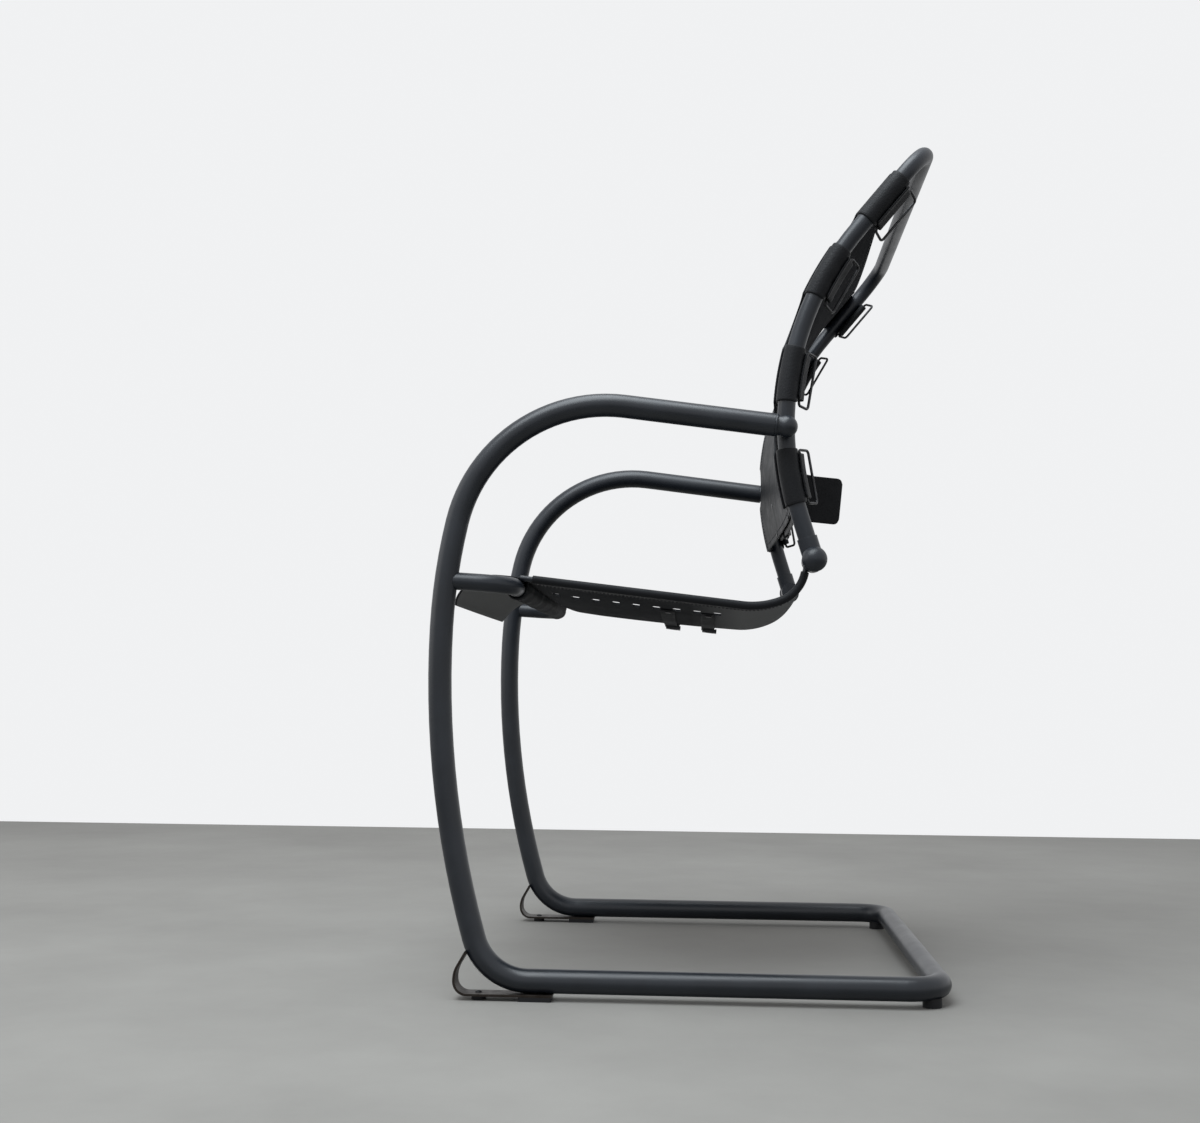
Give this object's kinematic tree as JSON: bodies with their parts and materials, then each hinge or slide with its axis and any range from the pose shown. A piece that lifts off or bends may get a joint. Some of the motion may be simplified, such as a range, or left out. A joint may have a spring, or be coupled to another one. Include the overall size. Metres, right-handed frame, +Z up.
{
  "type": "cantilever chair",
  "caption": "Cantilever armchair: bent black steel tube frame, sling seat and laced back of black leather, steel strap rings that swing, sprung front feet.",
  "frame": {"origin": "on the floor, in the middle of the footprint", "axes": "+Z up, the chair faces -Y, +X to the sitter's left"},
  "size_m": [0.591, 0.5532, 0.9272],
  "materials": {
    "frame_black": "matt black powder coat",
    "leather_black": "smooth black saddle leather",
    "ring_wire": "blackened steel wire",
    "spring_strip": "burnished dark spring steel",
    "fastener": "dull zinc-plated steel",
    "rivet_black": "blackened steel",
    "glide_black": "black nylon"
  },
  "bodies": {
    "chair": {"main_frame_left": "frame_black", "main_frame_right": "frame_black", "rear_bar_sleeve": "fastener", "rear_bar_screws": "fastener", "back_frame": "frame_black", "arm_end_ball_left": "frame_black", "saddle_washer_left": "frame_black", "arm_end_ball_right": "frame_black", "saddle_washer_right": "frame_black", "arm_joint_bolts": "frame_black", "front_cross_tube": "frame_black", "seat_rod_left": "frame_black", "seat_rod_right": "frame_black", "lower_knuckle_left": "frame_black", "knuckle_cap_left": "frame_black", "lower_knuckle_right": "frame_black", "knuckle_cap_right": "frame_black", "seat_leather": "leather_black", "seat_tie_1": "leather_black", "seat_tie_buckle_1": "ring_wire", "seat_tie_2": "leather_black", "seat_tie_buckle_2": "ring_wire", "seat_tie_rivets": "rivet_black", "back_leather": "leather_black", "lumbar_strap": "leather_black", "lumbar_anchor": "leather_black", "lumbar_ring": "ring_wire", "lumbar_rivets": "rivet_black", "back_tab_left_1": "leather_black", "back_tab_left_2": "leather_black", "back_tab_left_3": "leather_black", "back_tab_left_4": "leather_black", "back_tab_right_1": "leather_black", "back_tab_right_2": "leather_black", "back_tab_right_3": "leather_black", "back_tab_right_4": "leather_black", "foot_spring_left": "spring_strip", "front_glide_left": "glide_black", "heel_pad_left": "glide_black", "rear_glide_left": "glide_black", "foot_spring_right": "spring_strip", "front_glide_right": "glide_black", "heel_pad_right": "glide_black", "rear_glide_right": "glide_black", "foot_screws": "fastener"},
    "ring_left_1": {"ring_left_1": "ring_wire"},
    "ring_left_2": {"ring_left_2": "ring_wire"},
    "ring_left_3": {"ring_left_3": "ring_wire"},
    "ring_left_4": {"ring_left_4": "ring_wire"},
    "ring_right_1": {"ring_right_1": "ring_wire"},
    "ring_right_2": {"ring_right_2": "ring_wire"},
    "ring_right_3": {"ring_right_3": "ring_wire"},
    "ring_right_4": {"ring_right_4": "ring_wire"}
  },
  "joints": [
    {"name": "ring_left_1_swing", "type": "hinge", "parent": "chair", "child": "ring_left_1", "pos_m": [0.2495, 0.22162, 0.84947], "axis": [0, -0.6428, -0.766], "range_deg": [-45, 88]},
    {"name": "ring_left_2_swing", "type": "hinge", "parent": "chair", "child": "ring_left_2", "pos_m": [0.2495, 0.16219, 0.77032], "axis": [0, -0.5, -0.866], "range_deg": [-45, 88]},
    {"name": "ring_left_3_swing", "type": "hinge", "parent": "chair", "child": "ring_left_3", "pos_m": [0.2495, 0.12352, 0.66262], "axis": [0, -0.165, -0.9863], "range_deg": [-45, 88]},
    {"name": "ring_left_4_swing", "type": "hinge", "parent": "chair", "child": "ring_left_4", "pos_m": [0.2495, 0.12371, 0.55538], "axis": [0, 0.1685, -0.9857], "range_deg": [-45, 88]},
    {"name": "ring_right_1_swing", "type": "hinge", "parent": "chair", "child": "ring_right_1", "pos_m": [-0.2495, 0.22162, 0.84947], "axis": [0, 0.6428, 0.766], "range_deg": [-45, 88]},
    {"name": "ring_right_2_swing", "type": "hinge", "parent": "chair", "child": "ring_right_2", "pos_m": [-0.2495, 0.16219, 0.77032], "axis": [0, 0.5, 0.866], "range_deg": [-45, 88]},
    {"name": "ring_right_3_swing", "type": "hinge", "parent": "chair", "child": "ring_right_3", "pos_m": [-0.2495, 0.12352, 0.66262], "axis": [0, 0.165, 0.9863], "range_deg": [-45, 88]},
    {"name": "ring_right_4_swing", "type": "hinge", "parent": "chair", "child": "ring_right_4", "pos_m": [-0.2495, 0.12371, 0.55538], "axis": [0, -0.1685, 0.9857], "range_deg": [-45, 88]}
  ]
}
